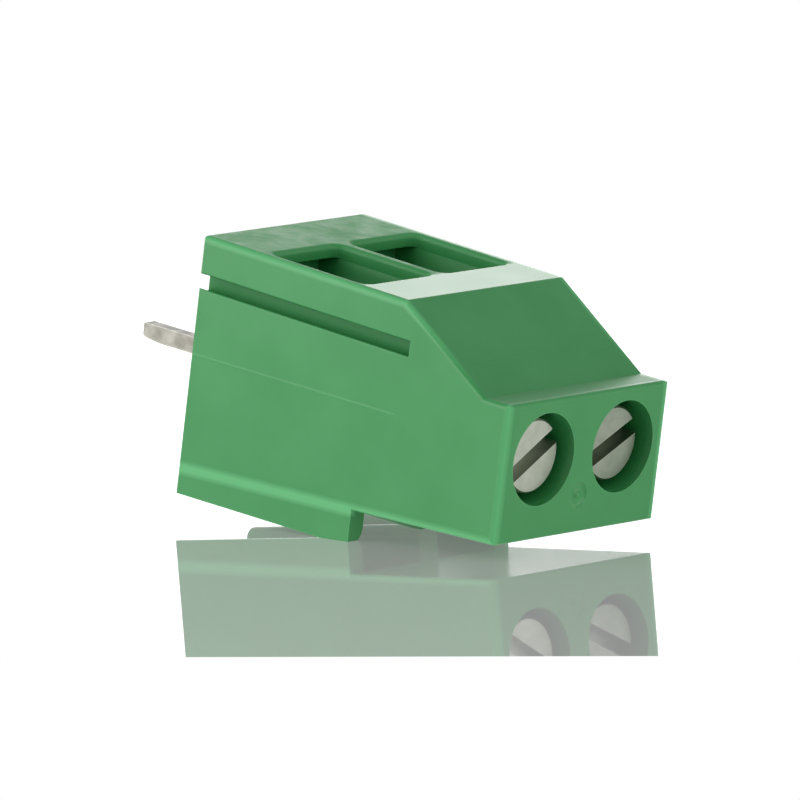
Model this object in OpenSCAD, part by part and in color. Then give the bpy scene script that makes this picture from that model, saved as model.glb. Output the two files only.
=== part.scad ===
// Two-pole screw terminal for circuit boards, with rising clamp cages.
// Frame: z = 0 is the board, the solder pins stand on the x axis, wires enter
// from -y and the screws are turned from +z.

/* [Housing] */
// Distance between the two poles
pitch = 5.08; // [5:0.02:7.62]
// Height of the screw face above the board
body_h = 16.87; // [14:0.01:21]
// Wire face in front of the pin row, at the board
front_y = 5.29; // [5:0.01:7]
// Back wall behind the pin row, at the board
back_y = 4.52; // [4.2:0.01:6]
// Draft of the wire face, in degrees
front_draft = 1.3; // [0:0.1:2]
// Draft of the back wall, in degrees
back_draft = 2.6; // [0:0.1:3]
// Rounding of the outer edges on the grooved side
edge_r = 0.3; // [0.1:0.05:0.4]
// Rounding across the slope and the top
crest_r = 0.2; // [0.05:0.05:0.3]
// Rounding of the edges where the mould halves meet
parting_r = 0.1; // [0.05:0.05:0.3]

/* [Sloped shoulder] */
// Height at which the slope leaves the wire face
slope_z = 10.84; // [10:0.01:12]
// Height of the upright land above the slope
land_h = 1.39; // [0.8:0.01:2]
// Land in front of the screw axis
land_y = 2.48; // [2.2:0.01:3]
// Fillet between the slope and the land
slope_fillet = 0.6; // [0.2:0.05:1]

/* [Wire entries] */
// Lower edge of the entries above the board
entry_z = 3.2; // [3:0.01:3.6]
// Height of the entries
entry_h = 5.1; // [4.4:0.01:6.2]
// Wall outside each entry
entry_wall = 0.52; // [0.4:0.01:0.8]
// Wall between the two entries
entry_divider = 0.66; // [0.5:0.01:1]
// Corner radius of the entries
entry_corner_r = 0.4; // [0.2:0.05:0.8]
// Rounding of the entry rims
rim_r = 0.22; // [0.05:0.01:0.24]
// Thickness of the lip below each entry
lip_t = 0.55; // [0.4:0.01:0.8]
// Depth of the relief behind the lip
lip_relief = 0.9; // [0.3:0.05:1.2]

/* [Back ribs] */
// Height at which the ribs end
rib_h = 9.32; // [8.9:0.01:10.2]
// Back of the ribs behind the pin row
rib_y = 5.6; // [5.2:0.01:7]
// Thickness of the two outer ribs
outer_rib_w = 0.88; // [0.8:0.01:1.06]
// Thickness of the middle rib
middle_rib_w = 1.16; // [1:0.01:1.4]
// Rounding of the outer ribs' inner edges
outer_rib_r = 0.7; // [0.1:0.05:0.75]
// Rounding of the middle rib's edges
middle_rib_r = 0.5; // [0.1:0.05:0.5]

/* [Side groove and tongue] */
// Height of the groove's blind end
groove_h = 11.36; // [9:0.01:12]
// Back edge of the groove behind the wire face
groove_y = 2.19; // [1.9:0.01:2.5]
// Width of the groove
groove_w = 0.62; // [0.4:0.01:0.8]
// Depth of the groove
groove_d = 0.65; // [0.4:0.01:0.7]
// Slant of the groove across its depth
groove_slant = 0.17; // [0:0.01:0.3]
// Rounding of the groove's mouth
groove_r = 0.08; // [0.02:0.01:0.15]

/* [Screws] */
// Screw axis behind the pin row
screw_y = 0.42; // [0:0.01:0.8]
// Driver bore in the screw face
bore_d = 3.87; // [3.5:0.01:4.2]
// Head diameter
head_d = 3.12; // [2.9:0.01:3.4]
// Head height
head_h = 1.8; // [1.2:0.05:2.2]
// Depth of the head below the screw face
head_recess = 0.57; // [0.2:0.01:1]
// Chamfer of the head's edge
head_chamfer = 0.08; // [0:0.01:0.2]
// Width of the driver slot
slot_w = 0.7; // [0.4:0.01:0.8]
// Depth of the driver slot
slot_d = 0.9; // [0.5:0.05:1.2]
// Thread diameter
thread_d = 2.5; // [2:0.05:2.6]
// Chamfer of the screw's tip
tip_chamfer = 0.3; // [0.1:0.05:0.6]
// Resting angle of the left screw's slot, in degrees
slot_angle_left = 24.5; // [0:0.5:180]
// Resting angle of the right screw's slot, in degrees
slot_angle_right = 30; // [0:0.5:180]

/* [Clamp cages] */
// Sheet thickness of the cage
cage_t = 0.45; // [0.35:0.01:0.5]
// Length of the cage along the wire
cage_l = 4.4; // [3.4:0.1:4.5]
// Inside bend radius of the cage
cage_bend_r = 0.25; // [0.1:0.05:0.4]
// Opening between the cage floor and the bar
wire_gap = 3.3; // [2.6:0.05:3.6]
// Top of the cage floor above the board, with the clamp open
cage_floor_z = 2.8; // [2.5:0.01:3]
// Opening that is left when the clamp is shut
shut_gap = 0.33; // [0.1:0.01:0.6]
// Seam between the two ends of the cage strip
seam_w = 0.06; // [0.03:0.01:0.1]
// How deep the seam shows from each end of the cage
seam_d = 0.5; // [0.2:0.05:0.7]
// Number of teeth pressed into the cage floor
tooth_count = 4; // [2:1:5]
// Distance between the teeth
tooth_pitch = 0.7; // [0.5:0.05:0.8]
// Width of a tooth's groove
tooth_w = 0.34; // [0.2:0.01:0.45]
// Depth of a tooth's groove
tooth_d = 0.14; // [0.05:0.01:0.2]

/* [Pin bars] */
// Sheet thickness of the bar
bar_t = 0.7; // [0.5:0.01:0.8]
// Inside bend radius of the bar
bar_bend_r = 0.35; // [0.2:0.05:0.5]
// Width of the solder pin
pin_w = 0.6; // [0.5:0.01:1]
// Length of the pin below the board face
pin_l = 4.6; // [3:0.1:5]
// Length of the pin's tapered tip
pin_tip_l = 1; // [0.4:0.1:1.5]
// Narrowing of the pin at the back of its tip
pin_tip_cut = 0.12; // [0.02:0.01:0.2]
// Rounding of the tip's back corner
pin_back_r = 0.28; // [0.05:0.01:0.3]
// Rounding of the tip's other corners
pin_corner_r = 0.12; // [0.05:0.01:0.2]
// Housing floor under the bar
floor_t = 0.9; // [0.7:0.01:1.2]

/* [Gate mark] */
// Diameter of the round hollow that the gate leaves
gate_d = 1.1; // [0.8:0.05:1.3]
// Depth of the hollow
gate_depth = 0.1; // [0.05:0.01:0.15]
// Radius of the hollow's section
gate_r = 0.3; // [0.2:0.01:0.35]
// Middle of the hollow behind the screw axis
gate_y = 1.75; // [1.4:0.01:1.95]

/* [Clearances] */
// Turning, screwing and interlocking fits, on the radius
run_gap = 0.05; // [0.02:0.01:0.1]
// Sheet parts beside a housing wall
slide_gap = 0.06; // [0.03:0.01:0.1]
// Bar's leg beside the chamber walls that hold it
leg_gap = 0.03; // [0.01:0.01:0.05]
// Bar's tongue beside the cage's sides
tongue_gap = 0.09; // [0.05:0.01:0.15]
// Cage's ends in front of and behind it
end_gap = 0.12; // [0.06:0.01:0.2]
// Beside the thread, inside the cage
thread_room = 0.05; // [0.02:0.01:0.1]
// Free play over and under the moving cage
lift_gap = 0.15; // [0.05:0.01:0.3]

/* [Hidden] */

// cutters and roots
overlap = 0.05;       // how far a cutter runs past the face it opens
span = 4 * body_h;    // longer than the whole part
rib_root = 1;         // how far the ribs run into the back wall

// colours
housing_colour = [0.29, 0.6, 0.38];
screw_colour = [0.66, 0.65, 0.61];
cage_colour = [0.72, 0.71, 0.68];
bar_colour = [0.62, 0.62, 0.6];

// poles and outline
left_x = -pitch / 2;
right_x = pitch / 2;
width = 2 * pitch;
side_x = width / 2;
slope_end_z = body_h - land_h;
land_face_y = screw_y - land_y;
slope_foot_y = -front_y + slope_z * tan(front_draft);
back_top_y = back_y - body_h * tan(back_draft);
slope_turn = atan2(land_face_y - slope_foot_y, slope_end_z - slope_z);
outline = [
    [-front_y, 0],
    [slope_foot_y, slope_z],
    [land_face_y, slope_end_z],
    [land_face_y, body_h],
    [back_top_y, body_h],
    [back_y, 0],
];

// entries
entry_w = (width - entry_divider) / 2 - entry_wall;
entry_x = (entry_w + entry_divider) / 2;
entry_mid_z = entry_z + entry_h / 2;
entry_inner_y = -front_y + entry_z * tan(front_draft) + lip_t;

// cages
cage_inner_w = thread_d + 2 * thread_room;
cage_w = cage_inner_w + 2 * cage_t;
bar_z = cage_floor_z + wire_gap;
bar_top_z = bar_z + bar_t;
cage_inner_h = wire_gap + bar_t + lift_gap;
cage_roof_t = 2 * cage_t;
cage_z = cage_floor_z - cage_t;
cage_h = cage_t + cage_inner_h + cage_roof_t;
cage_front_y = screw_y - cage_l / 2;
cage_back_y = screw_y + cage_l / 2;
cage_rise = wire_gap - shut_gap;

// chambers
chamber_w = cage_w + 2 * slide_gap;
chamber_front_y = cage_front_y - end_gap;
chamber_back_y = cage_back_y + end_gap;
chamber_roof_z = cage_z + cage_h + cage_rise + lift_gap;

// screws
head_z = body_h - head_recess;
seat_z = head_z - head_h - run_gap;
thread_hole_r = thread_d / 2 + run_gap;

// pin bars
tongue_w = cage_inner_w - 2 * tongue_gap;
tongue_front_y = cage_front_y + end_gap;
leg_w = chamber_w - 2 * leg_gap;
leg_y = chamber_back_y + end_gap;
mouth_y = leg_y + bar_t + slide_gap;
bend_out_r = bar_bend_r + bar_t;

function unit(v) = v / norm(v);

// The sliver between a corner and the arc that rounds it. It reaches past the
// corner, so that it cuts or joins cleanly.
module corner_piece(before, corner, after, r) {
    a = unit(before - corner);
    b = unit(after - corner);
    half = acos(a * b) / 2;
    run = r / tan(half);
    centre = corner + unit(a + b) * r / sin(half);
    past = corner - unit(a + b) * overlap;
    difference() {
        polygon([past, corner + a * run, centre, corner + b * run]);
        translate(centre) circle(r = r, $fn = 64);
    }
}

// Side view of the housing without its ribs, y to the right and z upwards.
module side_outline() {
    p = outline;
    difference() {
        union() {
            polygon(p);
            corner_piece(p[1], p[2], p[3], slope_fillet);
        }
        corner_piece(p[5], p[0], p[1], parting_r);
        corner_piece(p[0], p[1], p[2], crest_r);
        corner_piece(p[2], p[3], p[4], crest_r);
        corner_piece(p[3], p[4], p[5], parting_r);
        corner_piece(p[4], p[5], p[0], parting_r);
    }
}

// Turns a shape drawn in y and z into a plate of the given width across x.
module across_x(w) {
    rotate([90, 0, 90]) linear_extrude(height = w, center = true) children();
}

// All that lies inside one flat face of the housing. Its edge on the grooved
// side is rounded by r, and the one on the far side by the parting radius.
module inside_face(point, turn, r) {
    translate([0, point[0], point[1]])
        rotate([turn, 0, 0])
            linear_extrude(height = 2 * span, center = true)
                difference() {
                    translate([-side_x, -span]) square([width, span]);
                    corner_piece([side_x, -span], [side_x, 0], [-side_x, 0], r);
                    corner_piece([-side_x, -span], [-side_x, 0], [side_x, 0], parting_r);
                }
}

module outer_block() {
    p = outline;
    intersection() {
        across_x(span) side_outline();
        inside_face(p[0], 180 - front_draft, edge_r);
        inside_face(p[5], back_draft, parting_r);
        inside_face(p[3], 90, edge_r);
        inside_face(p[0], -90, parting_r);
        union() {
            inside_face(p[1], 180 - slope_turn, crest_r);
            inside_face(p[2], 180, crest_r);
        }
    }
}

// One rib behind the chambers, with the named sides' back edges rounded.
module rib(w, r, rounded_sides) {
    root_y = back_y - rib_root;
    linear_extrude(height = rib_h)
        difference() {
            translate([-w / 2, root_y]) square([w, rib_y - root_y]);
            for (s = rounded_sides)
                corner_piece([s * w / 2, root_y], [s * w / 2, rib_y], [0, rib_y], r);
        }
}

module ribs() {
    intersection() {
        union() {
            rib(middle_rib_w, middle_rib_r, [-1, 1]);
            for (side = [-1, 1])
                translate([side * (side_x - outer_rib_w / 2), 0, 0])
                    rib(outer_rib_w, outer_rib_r, [-side]);
        }
        inside_face([0, 0], -90, parting_r);
    }
}

// Slanted section of the groove, or of the tongue when it is thinner all
// round. It is drawn in x and y, with its mouth at x = 0.
module groove_section(gap) {
    polygon([
        [overlap, -gap],
        [overlap, gap - groove_w],
        [-groove_d + gap, gap - groove_w + groove_slant],
        [-groove_d + gap, groove_slant - gap],
    ]);
}

// What the rounded mouth takes from the side face along the groove.
module groove_mouth() {
    corner_piece([0, groove_w], [0, 0], [-groove_d, groove_slant], groove_r);
    corner_piece(
        [0, -2 * groove_w],
        [0, -groove_w],
        [-groove_d, groove_slant - groove_w],
        groove_r
    );
}

// Stands a section up along the wire face, from below the board to a height.
module along_groove(side, top) {
    translate([side * side_x, groove_y - front_y, 0])
        rotate([-front_draft, 0, 0])
            translate([0, 0, -groove_w])
                linear_extrude(height = top + groove_w) children();
}

module groove() {
    along_groove(1, groove_h) {
        groove_section(0);
        groove_mouth();
    }
}

module tongue() {
    intersection() {
        along_groove(-1, groove_h - run_gap) groove_section(run_gap);
        translate([-span, -span, 0]) cube([2 * span, 2 * span, span]);
    }
}

// The corner that a rounded rim takes away, x outwards and y inwards.
module rim_section() {
    difference() {
        translate([-overlap, -overlap]) square(rim_r + overlap);
        translate([rim_r, rim_r]) circle(r = rim_r, $fn = 48);
    }
}

module entry_rim() {
    half = [entry_w / 2, entry_h / 2];
    for (i = [0:3]) {
        reach = half[i % 2];
        run = half[(i + 1) % 2] - entry_corner_r;
        rotate([0, 0, 90 * i]) {
            translate([reach, 0, 0])
                rotate([90, 0, 0])
                    linear_extrude(height = 2 * run, center = true) rim_section();
            translate([reach - entry_corner_r, run, 0])
                rotate_extrude(angle = 90, $fn = 48)
                    translate([entry_corner_r, 0]) rim_section();
        }
    }
}

module rounded_rectangle(w, h, r) {
    square([w, h - 2 * r], center = true);
    square([w - 2 * r, h], center = true);
    for (x = [-1, 1], y = [-1, 1])
        translate([x * (w / 2 - r), y * (h / 2 - r)]) circle(r = r, $fn = 48);
}

// One wire entry: the rounded mouth, then a funnel down to the cage.
module entry(side) {
    pole_x = side * pitch / 2;
    mouth_x = side * entry_x;
    translate([mouth_x, -front_y + entry_mid_z * tan(front_draft), entry_mid_z])
        rotate([-90 - front_draft, 0, 0]) {
            entry_rim();
            translate([0, 0, -overlap])
                linear_extrude(height = lip_t + 2 * overlap)
                    rounded_rectangle(entry_w, entry_h, entry_corner_r);
        }
    end_y = chamber_front_y + overlap;
    intersection() {
        across_x(span)
            polygon([
                [entry_inner_y, entry_z - lip_relief],
                [end_y, cage_floor_z + lift_gap],
                [end_y, bar_z],
                [entry_inner_y, entry_z + entry_h],
            ]);
        linear_extrude(height = body_h)
            polygon([
                [mouth_x - entry_w / 2, entry_inner_y],
                [mouth_x + entry_w / 2, entry_inner_y],
                [pole_x + cage_inner_w / 2, end_y],
                [pole_x - cage_inner_w / 2, end_y],
            ]);
    }
}

// Mouth of one chamber between the ribs, where the cage and the bar go in.
module chamber_mouth(side) {
    inner_x = middle_rib_w / 2;
    outer_x = side_x - outer_rib_w;
    mouth_w = outer_x - inner_x;
    translate([side * (inner_x + outer_x) / 2 - mouth_w / 2, mouth_y - overlap, floor_t])
        cube([mouth_w, rib_y - mouth_y + 2 * overlap, rib_h - floor_t]);
}

// Room for one cage, its screw and its bar, up to the chamber's mouth.
module pole_room() {
    translate([-chamber_w / 2, chamber_front_y, floor_t])
        cube([chamber_w, mouth_y - chamber_front_y, rib_h - floor_t]);
    translate([-chamber_w / 2, chamber_front_y, floor_t])
        cube([chamber_w, chamber_back_y - chamber_front_y, chamber_roof_z - floor_t]);
    translate([0, screw_y, chamber_roof_z - overlap])
        cylinder(h = seat_z - chamber_roof_z + 2 * overlap, r = thread_hole_r, $fn = 64);
    translate([0, screw_y, seat_z])
        cylinder(h = body_h - seat_z + overlap, d = bore_d, $fn = 96);
    pin_slot_w = pin_w + 2 * slide_gap;
    pin_front_y = -bar_t / 2 - slide_gap;
    translate([-pin_slot_w / 2, pin_front_y, -overlap])
        cube([pin_slot_w, rib_y - pin_front_y + overlap, floor_t + 2 * overlap]);
}

// Ring-shaped hollow round the stub that the gate leaves.
module gate_mark() {
    lift = gate_r - gate_depth;
    half_w = sqrt(gate_r * gate_r - lift * lift);
    translate([0, screw_y + gate_y, body_h + lift])
        rotate_extrude($fn = 64)
            translate([gate_d / 2 - half_w, 0]) circle(r = gate_r, $fn = 48);
}

module housing() {
    color(housing_colour)
        difference() {
            union() {
                outer_block();
                ribs();
                tongue();
            }
            groove();
            gate_mark();
            for (side = [-1, 1]) {
                entry(side);
                chamber_mouth(side);
                translate([side * pitch / 2, 0, 0]) pole_room();
            }
        }
}

// Slotted screw: flat head and a plain shank at the thread's diameter.
module screw(x, slot_angle) {
    color(screw_colour)
        translate([x, screw_y, 0])
            difference() {
                rotate_extrude($fn = 96)
                    polygon([
                        [0, bar_top_z],
                        [thread_d / 2 - tip_chamfer, bar_top_z],
                        [thread_d / 2, bar_top_z + tip_chamfer],
                        [thread_d / 2, head_z - head_h],
                        [head_d / 2, head_z - head_h],
                        [head_d / 2, head_z - head_chamfer],
                        [head_d / 2 - head_chamfer, head_z],
                        [0, head_z],
                    ]);
                rotate([0, 0, slot_angle])
                    translate([-head_d, -slot_w / 2, head_z - slot_d])
                        cube([2 * head_d, slot_w, slot_d + overlap]);
            }
}

// Front view of the folded cage strip, x to the right and z upwards.
module cage_outline() {
    difference() {
        translate([0, cage_h / 2]) rounded_rectangle(cage_w, cage_h, cage_bend_r + cage_t);
        translate([0, cage_t + cage_inner_h / 2])
            rounded_rectangle(cage_inner_w, cage_inner_h, cage_bend_r);
    }
}

// Front view of the seam between the two ends of the strip, which lie over
// each other at the top. It closes up round the thread.
module cage_seam() {
    translate([-cage_inner_w / 2 - seam_w, cage_h - cage_t - seam_w])
        square([cage_w, seam_w]);
    translate([-cage_inner_w / 2 - seam_w, cage_h - cage_roof_t - overlap])
        square([seam_w, cage_t + overlap]);
}

module cage(x) {
    color(cage_colour)
        translate([x, cage_front_y, cage_z])
            difference() {
                translate([0, cage_l, 0])
                    rotate([90, 0, 0]) linear_extrude(height = cage_l) cage_outline();
                for (end_y = [seam_d - overlap, cage_l + overlap])
                    translate([0, end_y, 0])
                        rotate([90, 0, 0]) linear_extrude(height = seam_d) cage_seam();
                translate([0, cage_l / 2, cage_h - cage_roof_t - overlap])
                    cylinder(h = cage_roof_t + 2 * overlap, r = thread_hole_r, $fn = 64);
                for (i = [0:tooth_count - 1])
                    translate([0, cage_l / 2 + (i - (tooth_count - 1) / 2) * tooth_pitch, cage_t])
                        across_x(cage_inner_w - 2 * cage_bend_r)
                            polygon([
                                [-tooth_w / 2, overlap],
                                [-tooth_w / 2, 0],
                                [0, -tooth_d],
                                [tooth_w / 2, 0],
                                [tooth_w / 2, overlap],
                            ]);
            }
}

// A quarter bend of the bar's strip around a centre, in y and z.
module bend(centre, from_angle) {
    translate(centre)
        rotate(from_angle)
            difference() {
                intersection() {
                    circle(r = bend_out_r, $fn = 64);
                    square(bend_out_r + overlap);
                }
                circle(r = bar_bend_r, $fn = 64);
            }
}

// Bar: a tongue inside the cage, a leg that shuts the chamber's back, a foot
// on the housing floor and the solder pin bent down from it.
module pin_bar(x) {
    leg_centre_y = leg_y - bar_bend_r;
    foot_bend_z = floor_t + bend_out_r;
    tongue_bend_z = bar_top_z - bend_out_r;
    pin_bend_y = bar_t / 2 + bar_bend_r;
    pin_bend_z = floor_t - bar_bend_r;
    color(bar_colour)
        translate([x, 0, 0]) {
            across_x(tongue_w) {
                translate([tongue_front_y, bar_z])
                    square([leg_centre_y - tongue_front_y, bar_t]);
                bend([leg_centre_y, tongue_bend_z], 0);
                bend([leg_centre_y, foot_bend_z], -90);
                translate([pin_bend_y, floor_t]) square([leg_centre_y - pin_bend_y, bar_t]);
            }
            across_x(leg_w)
                translate([leg_y, foot_bend_z]) square([bar_t, tongue_bend_z - foot_bend_z]);
            across_x(pin_w) bend([pin_bend_y, pin_bend_z], 90);
            solder_pin(pin_bend_z);
        }
}

// Straight pin whose tip narrows at the back and is rounded all round.
module solder_pin(top_z) {
    tip_z = -pin_l;
    front_y = -bar_t / 2;
    tip_back_y = bar_t / 2 - pin_tip_cut;
    taper_z = tip_z + pin_tip_l;
    intersection() {
        across_x(pin_w)
            difference() {
                polygon([
                    [front_y, top_z],
                    [front_y, tip_z],
                    [tip_back_y, tip_z],
                    [bar_t / 2, taper_z],
                    [bar_t / 2, top_z],
                ]);
                corner_piece([front_y, top_z], [front_y, tip_z], [tip_back_y, tip_z], pin_corner_r);
                corner_piece([front_y, tip_z], [tip_back_y, tip_z], [bar_t / 2, taper_z], pin_back_r);
            }
        rotate([90, 0, 0])
            linear_extrude(height = 2 * bar_t, center = true)
                difference() {
                    translate([-pin_w / 2, tip_z]) square([pin_w, top_z - tip_z]);
                    for (s = [-1, 1])
                        corner_piece(
                            [s * pin_w / 2, top_z],
                            [s * pin_w / 2, tip_z],
                            [-s * pin_w / 2, tip_z],
                            pin_corner_r
                        );
                }
    }
}

housing();
screw(left_x, slot_angle_left);  // screw_left
screw(right_x, slot_angle_right);  // screw_right
cage(left_x);  // cage_left
cage(right_x);  // cage_right
pin_bar(left_x);  // pin_bar_left
pin_bar(right_x);  // pin_bar_right
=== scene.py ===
import math

import bpy
from mathutils import Matrix, Vector


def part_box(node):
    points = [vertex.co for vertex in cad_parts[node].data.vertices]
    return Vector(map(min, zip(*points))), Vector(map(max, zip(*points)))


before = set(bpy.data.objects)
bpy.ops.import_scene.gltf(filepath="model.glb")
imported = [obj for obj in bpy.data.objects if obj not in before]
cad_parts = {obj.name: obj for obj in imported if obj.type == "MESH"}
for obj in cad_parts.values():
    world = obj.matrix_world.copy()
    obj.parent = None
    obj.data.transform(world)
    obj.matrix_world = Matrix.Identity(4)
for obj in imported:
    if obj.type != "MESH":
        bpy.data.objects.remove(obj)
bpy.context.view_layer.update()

# Two-pole board terminal lying on its back on a glossy table. Units are metres,
# in the part's own frame: wires enter from -y and the screws are turned from +z.
# The table lies slightly above the ends of the ribs, so it hides those ends.

MM = 0.001

# ---------------------------------------------------------------- places

housing_low, housing_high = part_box("housing")
WIRE_DRAFT = math.tan(math.radians(1.3))
BACK_DRAFT = math.tan(math.radians(2.6))
BACK_Y = 4.52 * MM
ENTRY_TOP_Z = 8.3 * MM
SLOPE_FOOT = Vector((0.0, housing_low.y + 10.84 * MM * WIRE_DRAFT, 10.84 * MM))
SLOPE_HEAD = Vector((0.0, -2.48 * MM, 15.48 * MM))
MOULD_LINE_Y = -0.3 * MM
MOULD_LINE_END_Z = 11.1 * MM
RIB_END = Vector((housing_high.x, housing_high.y, 9.32 * MM))
TABLE_NORMAL = Vector((0.0, -0.992, -0.1265)).normalized()
TABLE_EDGE = RIB_END + 0.18 * MM * TABLE_NORMAL
TABLE_IN_FRONT = 28 * MM
TABLE_BEHIND = 80 * MM
TABLE_WIDTH = 160 * MM
TABLE_SHEEN = 1.76
LIGHT_DISTANCE = 0.4
ROOM_LIGHT = 0.33
CEILING_LIGHT = 0.45
CAMERA_PLACE = (0.37435, -0.10945, 0.30658)
CAMERA_RIGHT = Vector((-0.6407, -0.1128, 0.7595))
CAMERA_UP = Vector((-0.1011, -0.9681, -0.2291))
CAMERA_BACK = CAMERA_RIGHT.cross(CAMERA_UP)
TABLE_ALONG = CAMERA_UP.cross(TABLE_NORMAL).normalized()
TABLE_AWAY = TABLE_NORMAL.cross(TABLE_ALONG)

# ---------------------------------------------------------------- node helpers


class Graph:
    """A node tree with short calls for adding and linking nodes."""

    def __init__(self, tree):
        self.tree = tree
        self.nodes = tree.nodes
        self.links = tree.links
        self.nodes.clear()

    def add(self, kind, settings=None, **inputs):
        """Adds a node, sets its properties, then sets or links its named inputs."""
        node = self.nodes.new(kind)
        for name, value in (settings or {}).items():
            setattr(node, name, value)
        for name, value in inputs.items():
            self.feed(node.inputs[name.replace("_", " ")], value)
        return node

    def feed(self, socket, value):
        if isinstance(value, bpy.types.NodeSocket):
            self.links.new(value, socket)
        else:
            socket.default_value = value

    def math(self, operation, *values, clamp=False):
        node = self.nodes.new("ShaderNodeMath")
        node.operation = operation
        node.use_clamp = clamp
        for socket, value in zip(node.inputs, values):
            self.feed(socket, value)
        return node.outputs[0]

    def vector_math(self, operation, *values, output=0):
        node = self.nodes.new("ShaderNodeVectorMath")
        node.operation = operation
        for socket, value in zip(node.inputs, values):
            self.feed(socket, value)
        return node.outputs[output]

    def blend(self, factor, first, second, mode="MIX"):
        """Mixes two colours."""
        node = self.nodes.new("ShaderNodeMix")
        node.data_type = "RGBA"
        node.blend_type = mode
        self.feed(node.inputs[0], factor)
        self.feed(node.inputs[6], first)
        self.feed(node.inputs[7], second)
        return node.outputs[2]

    def remap(self, value, low, high, to_low=0.0, to_high=1.0):
        """Maps a range onto another one, held at both ends."""
        node = self.nodes.new("ShaderNodeMapRange")
        for socket, number in zip(node.inputs, (value, low, high, to_low, to_high)):
            self.feed(socket, number)
        return node.outputs[0]

    def mix(self, factor, first, second):
        """Mixes two numbers."""
        return self.math("ADD", first, self.math("MULTIPLY", factor, self.math("SUBTRACT", second, first)))

    def parts(self, vector):
        return self.add("ShaderNodeSeparateXYZ", Vector=vector).outputs[:]

    def place(self):
        """The point being shaded, in the part's frame."""
        return self.nodes.new("ShaderNodeTexCoord").outputs["Object"]

    def noise(self, where, scale, detail=3.0, roughness=0.5):
        node = self.add("ShaderNodeTexNoise", Vector=where, Scale=scale, Detail=detail, Roughness=roughness)
        return node.outputs[0]


def linear(red, green, blue):
    """A display colour from 0 to 255 as the linear colour that shaders take."""
    def one(c):
        c = c / 255
        return c / 12.92 if c <= 0.04045 else ((c + 0.055) / 1.055) ** 2.4
    return (one(red), one(green), one(blue), 1.0)


def group(name, inputs, outputs, build):
    """A shader node group. build(graph, start) returns the sockets for its outputs."""
    tree = bpy.data.node_groups.new(name, "ShaderNodeTree")
    for socket_name, default in inputs:
        kind = "NodeSocketFloat" if isinstance(default, float) else "NodeSocketVector"
        socket = tree.interface.new_socket(socket_name, in_out="INPUT", socket_type=kind)
        if kind == "NodeSocketFloat":
            socket.default_value = default
    for socket_name in outputs:
        tree.interface.new_socket(socket_name, in_out="OUTPUT", socket_type="NodeSocketFloat")
    graph = Graph(tree)
    start = graph.nodes.new("NodeGroupInput")
    end = graph.nodes.new("NodeGroupOutput")
    for socket, value in zip(end.inputs, build(graph, start.outputs)):
        graph.links.new(value, socket)
    return tree


def use(graph, tree, **inputs):
    """Places a group in a material."""
    node = graph.nodes.new("ShaderNodeGroup")
    node.node_tree = tree
    for name, value in inputs.items():
        graph.feed(node.inputs[name.replace("_", " ")], value)
    return node.outputs


def material(name):
    """A new material with its Principled shader wired to the output."""
    made = bpy.data.materials.new(name)
    made.use_nodes = True
    graph = Graph(made.node_tree)
    shader = graph.nodes.new("ShaderNodeBsdfPrincipled")
    end = graph.nodes.new("ShaderNodeOutputMaterial")
    graph.links.new(shader.outputs[0], end.inputs["Surface"])
    return made, graph, shader


# ---------------------------------------------------------------- shared effects


def build_edge_mask(graph, start):
    """1 on rounded and sharp edges, 0 on flat faces."""
    smooth = graph.add("ShaderNodeBevel", {"samples": 6}, Radius=start["Radius"])
    flat = graph.nodes.new("ShaderNodeNewGeometry").outputs["Normal"]
    along = graph.vector_math("DOT_PRODUCT", smooth.outputs[0], flat, output="Value")
    return [graph.remap(along, 0.995, 0.86)]


def build_grain(graph, start):
    """Fine surface grain: a height, and slow patches from 0 to 1."""
    fine = graph.noise(start["Place"], start["Fine Scale"], 3.0, 0.6)
    coarse = graph.noise(start["Place"], start["Patch Scale"], 2.0, 0.5)
    return [fine, graph.remap(coarse, 0.3, 0.7)]


def build_skin(graph, start):
    """How far below the housing's outer faces a point lies: to the sides, to the wire face, and in all."""
    x, y, z = graph.parts(start["Place"])
    side = graph.math("SUBTRACT", housing_high.x, graph.math("ABSOLUTE", x))
    wire = graph.math("SUBTRACT", graph.math("MULTIPLY_ADD", z, -WIRE_DRAFT, y), housing_low.y)
    run = SLOPE_HEAD - SLOPE_FOOT
    inward = Vector((0.0, run.z, -run.y)).normalized()
    slope = graph.vector_math("DOT_PRODUCT", start["Place"], inward, output="Value")
    slope = graph.math("SUBTRACT", slope, SLOPE_FOOT.dot(inward))
    slope = graph.math("MAXIMUM", slope, graph.math("SUBTRACT", y, SLOPE_HEAD.y))
    top = graph.math("SUBTRACT", housing_high.z, z)
    back = graph.math("SUBTRACT", BACK_Y, graph.math("MULTIPLY_ADD", z, BACK_DRAFT, y))
    around = graph.math("MINIMUM", graph.math("MINIMUM", wire, slope), graph.math("MINIMUM", top, back))
    band = graph.remap(graph.math("MAXIMUM", side, graph.math("ABSOLUTE", around)), 0.34 * MM, 0.1 * MM)
    inside = graph.remap(graph.math("MINIMUM", side, around), 0.15 * MM, 0.9 * MM)
    return [side, wire, band, inside]


EDGE_MASK = group("edge_mask", [("Radius", 0.0002)], ["Mask"], build_edge_mask)
SKIN = group("housing_skin", [("Place", None)], ["Side", "Wire Face", "Rounded Edge", "Inside"], build_skin)
GRAIN = group(
    "surface_grain",
    [("Place", None), ("Fine Scale", 20000.0), ("Patch Scale", 300.0)],
    ["Height", "Patches"],
    build_grain,
)

# ---------------------------------------------------------------- materials


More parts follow.
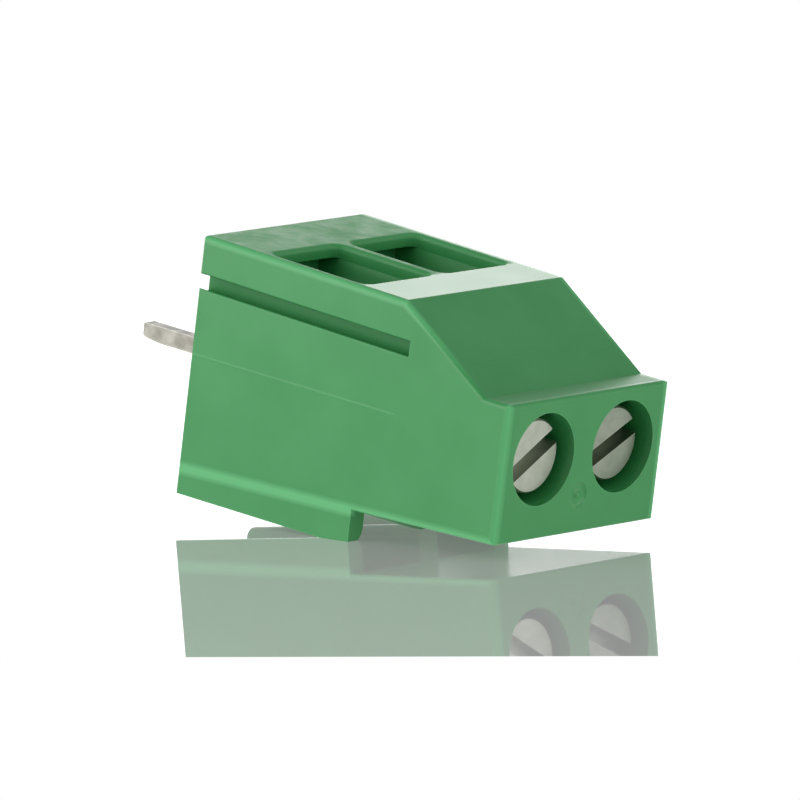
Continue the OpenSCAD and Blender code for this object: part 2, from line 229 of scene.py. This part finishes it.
def green_polyamide():
    """Moulded plastic: glossy outside, grainy round the entries, dull inside, with painted shade that darkens
    the green inside and painted highlights on its edges and mould line.
    """
    made, graph, shader = material("green_polyamide")
    where = graph.place()
    x, y, z = graph.parts(where)
    skin = use(graph, SKIN, Place=where)
    grain = use(graph, GRAIN, Place=where, Fine_Scale=9000.0, Patch_Scale=330.0)
    mottle = graph.remap(graph.noise(where, 1100.0, 5.0, 0.7), 0.36, 0.64)
    below_strip = graph.remap(z, ENTRY_TOP_Z + 0.15 * MM, ENTRY_TOP_Z - 0.05 * MM)
    off_side = graph.remap(skin["Side"], 0.1 * MM, 0.4 * MM)
    grainy = graph.math("MULTIPLY", graph.remap(skin["Wire Face"], 0.75 * MM, 0.3 * MM), below_strip)
    grainy = graph.math("MULTIPLY", grainy, off_side)
    line = graph.math("ABSOLUTE", graph.math("SUBTRACT", y, MOULD_LINE_Y))
    line = graph.remap(line, 0.07 * MM, 0.02 * MM)
    line = graph.math("MULTIPLY", line, graph.remap(z, MOULD_LINE_END_Z, MOULD_LINE_END_Z - 0.4 * MM))
    line = graph.math("MULTIPLY", line, graph.remap(skin["Side"], 0.04 * MM, 0.02 * MM))
    body = graph.blend(grain["Patches"], linear(59, 147, 81), linear(67, 153, 88))
    # Painted shade: deeper inside the recesses the green turns darker and more saturated.
    body = graph.blend(skin["Inside"], body, linear(36, 128, 62))
    # Painted highlight: a lighter green on the rounded and sharp edges and along the raised mould line,
    # fading out in the recesses.
    sharp_edge_highlight = use(graph, EDGE_MASK, Radius=0.1 * MM)["Mask"]
    light = graph.math("MAXIMUM", skin["Rounded Edge"], graph.math("MULTIPLY", sharp_edge_highlight, 0.4))
    light = graph.math("MAXIMUM", light, graph.math("MULTIPLY", line, 0.2))
    light = graph.math("MULTIPLY", light, graph.remap(skin["Inside"], 0.0, 0.2, 0.75, 0.0))
    graph.feed(shader.inputs["Base Color"], graph.blend(light, body, linear(104, 196, 128)))
    smooth = graph.remap(grain["Patches"], 0.0, 1.0, 0.2, 0.25)
    smooth = graph.mix(skin["Inside"], smooth, 0.6)
    rough = graph.remap(mottle, 0.0, 1.0, 0.54, 0.4)
    graph.feed(shader.inputs["Roughness"], graph.mix(grainy, smooth, rough))
    height = graph.math("MULTIPLY", grain["Height"], graph.remap(grainy, 0.0, 1.0, 0.25, 1.0))
    height = graph.math("ADD", height, line)
    bump = graph.add("ShaderNodeBump", Strength=0.5, Distance=0.01 * MM, Height=height)
    graph.feed(shader.inputs["Normal"], bump.outputs[0])
    shader.inputs["IOR"].default_value = 1.5
    shader.inputs["Specular IOR Level"].default_value = 0.35
    return made


def plated_steel(name, bright, dull, roughness):
    """Plated steel with a cloudy, slightly tarnished finish and painted highlights on its edges."""
    made, graph, shader = material(name)
    where = graph.place()
    grain = use(graph, GRAIN, Place=where, Fine_Scale=14000.0, Patch_Scale=1500.0)
    edge = use(graph, EDGE_MASK, Radius=0.06 * MM)["Mask"]
    tone = graph.blend(grain["Patches"], dull, bright)
    # Painted highlight: the colour is lightened to a pale warm grey on the edges.
    edge_glint_tone = graph.blend(graph.math("MULTIPLY", edge, 0.6), tone, linear(225, 222, 212))
    graph.feed(shader.inputs["Base Color"], edge_glint_tone)
    cloudy = graph.remap(grain["Patches"], 0.0, 1.0, roughness + 0.1, roughness)
    graph.feed(shader.inputs["Roughness"], cloudy)
    bump = graph.add("ShaderNodeBump", Strength=0.4, Distance=0.006 * MM, Height=grain["Height"])
    graph.feed(shader.inputs["Normal"], bump.outputs[0])
    shader.inputs["Metallic"].default_value = 1.0
    return made


FINISHES = {
    "housing": green_polyamide(),
    # The two screws share one zinc in lit and shaded copies: the left screw is painted darker and greener, as
    # painted shade and a painted reflection of its green bore.
    "screw_right": plated_steel("screw_zinc", linear(188, 194, 180), linear(172, 178, 163), 0.42),
    "screw_left": plated_steel("screw_zinc_painted_shade", linear(158, 166, 150), linear(138, 148, 132), 0.36),
    "cage": plated_steel("cage_nickel", linear(190, 188, 182), linear(160, 158, 152), 0.3),
    "pin_bar": plated_steel("tinned_bar", linear(160, 158, 150), linear(128, 125, 116), 0.4),
}

for node_name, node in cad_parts.items():
    finish = next(FINISHES[key] for key in FINISHES if node_name.startswith(key))
    for material_slot in node.material_slots:
        material_slot.material = finish

# ---------------------------------------------------------------- table, light and camera


def make_table():
    """Glossy white sheet with the part's shadow and mirror image. It can't be seen from below."""
    turn = Matrix((TABLE_ALONG, TABLE_AWAY, TABLE_NORMAL)).transposed().to_4x4()
    middle = TABLE_EDGE + TABLE_AWAY * (TABLE_BEHIND - TABLE_IN_FRONT) / 2
    bpy.ops.object.select_all(action="DESELECT")
    bpy.ops.mesh.primitive_plane_add(size=1.0)
    table = bpy.context.object
    table.name = "table"
    stretch = Matrix.Diagonal((TABLE_WIDTH, TABLE_BEHIND + TABLE_IN_FRONT, 1.0, 1.0))
    table.matrix_world = Matrix.Translation(middle) @ turn @ stretch
    table.visible_shadow = False
    made = bpy.data.materials.new("table_gloss")
    made.use_nodes = True
    graph = Graph(made.node_tree)
    gloss = graph.add("ShaderNodeFresnel", IOR=1.49).outputs[0]
    white = graph.math("MULTIPLY_ADD", gloss, -TABLE_SHEEN, 1.0, clamp=True)
    lit = graph.math("MULTIPLY", white, 0.6)
    mirror = graph.add("ShaderNodeBsdfGlossy", Color=gloss, Roughness=0.02)
    matt = graph.add("ShaderNodeBsdfDiffuse", Color=lit)
    bounce = graph.nodes.new("ShaderNodeLightPath").outputs["Is Diffuse Ray"]
    strength = graph.math("MULTIPLY", lit, graph.remap(bounce, 0.0, 1.0, 1.0, 0.5))
    glow = graph.add("ShaderNodeEmission", Strength=strength)
    both = graph.add("ShaderNodeAddShader")
    graph.feed(both.inputs[0], matt.outputs[0])
    graph.feed(both.inputs[1], glow.outputs[0])
    total = graph.add("ShaderNodeAddShader")
    graph.feed(total.inputs[0], both.outputs[0])
    graph.feed(total.inputs[1], mirror.outputs[0])
    behind = graph.nodes.new("ShaderNodeNewGeometry").outputs["Backfacing"]
    clear = graph.nodes.new("ShaderNodeBsdfTransparent")
    seen = graph.nodes.new("ShaderNodeMixShader")
    graph.feed(seen.inputs[0], behind)
    graph.feed(seen.inputs[1], total.outputs[0])
    graph.feed(seen.inputs[2], clear.outputs[0])
    end = graph.nodes.new("ShaderNodeOutputMaterial")
    graph.feed(end.inputs["Surface"], seen.outputs[0])
    table.data.materials.append(made)


def make_softbox(name, direction, width, height, brightness):
    """A studio light that faces the part, as bright all over as a white card at 1."""
    lamp = bpy.data.lights.new(name, "AREA")
    lamp.shape = "RECTANGLE"
    lamp.size = width
    lamp.size_y = height
    lamp.energy = brightness * math.pi * width * height
    softbox = bpy.data.objects.new(name, lamp)
    bpy.context.scene.collection.objects.link(softbox)
    direction = Vector(direction).normalized()
    sideways = TABLE_NORMAL.cross(direction).normalized()
    turn = Matrix((sideways, direction.cross(sideways), direction)).transposed().to_4x4()
    middle = (housing_low + housing_high) / 2
    softbox.matrix_world = Matrix.Translation(middle + direction * LIGHT_DISTANCE) @ turn
    softbox.visible_camera = False


def make_world():
    """White to the camera, white low down and dimmer overhead in reflections, and an even light otherwise."""
    world = bpy.data.worlds.new("studio")
    bpy.context.scene.world = world
    world.use_nodes = True
    graph = Graph(world.node_tree)
    ray = graph.nodes.new("ShaderNodeLightPath").outputs
    way = graph.nodes.new("ShaderNodeTexCoord").outputs["Generated"]
    height = graph.vector_math("DOT_PRODUCT", way, TABLE_NORMAL, output="Value")
    backdrop = graph.remap(height, 0.35, 0.6, 1.0, CEILING_LIGHT)
    mirrored = graph.math("MAXIMUM", ray["Is Glossy Ray"], ray["Is Transmission Ray"])
    level = graph.remap(mirrored, 0.0, 1.0, ROOM_LIGHT, backdrop)
    level = graph.math("MAXIMUM", level, ray["Is Camera Ray"])
    sky = graph.add("ShaderNodeBackground", Color=(1.0, 1.0, 1.0, 1.0), Strength=level)
    end = graph.nodes.new("ShaderNodeOutputWorld")
    graph.feed(end.inputs["Surface"], sky.outputs[0])


def make_camera():
    """Long lens, looking at the side face and the screws from a little above the table."""
    lens = bpy.data.cameras.new("camera")
    lens.sensor_width = 36.0
    lens.lens = 540.0
    camera = bpy.data.objects.new("camera", lens)
    bpy.context.scene.collection.objects.link(camera)
    turn = Matrix((CAMERA_RIGHT, CAMERA_UP, CAMERA_BACK)).transposed().to_4x4()
    camera.matrix_world = Matrix.Translation(CAMERA_PLACE) @ turn
    bpy.context.scene.camera = camera


make_table()
make_softbox("left_softbox", (0.78, -0.25, -0.5), 0.45, 0.45, 2.05)
make_softbox("right_softbox", (-0.2, -0.3, 0.93), 0.45, 0.45, 1.28)
make_softbox("rear_softbox", TABLE_AWAY + 0.2 * TABLE_NORMAL, 0.22, 0.2, 1.62)
make_world()
make_camera()
bpy.context.scene.view_settings.view_transform = "Standard"
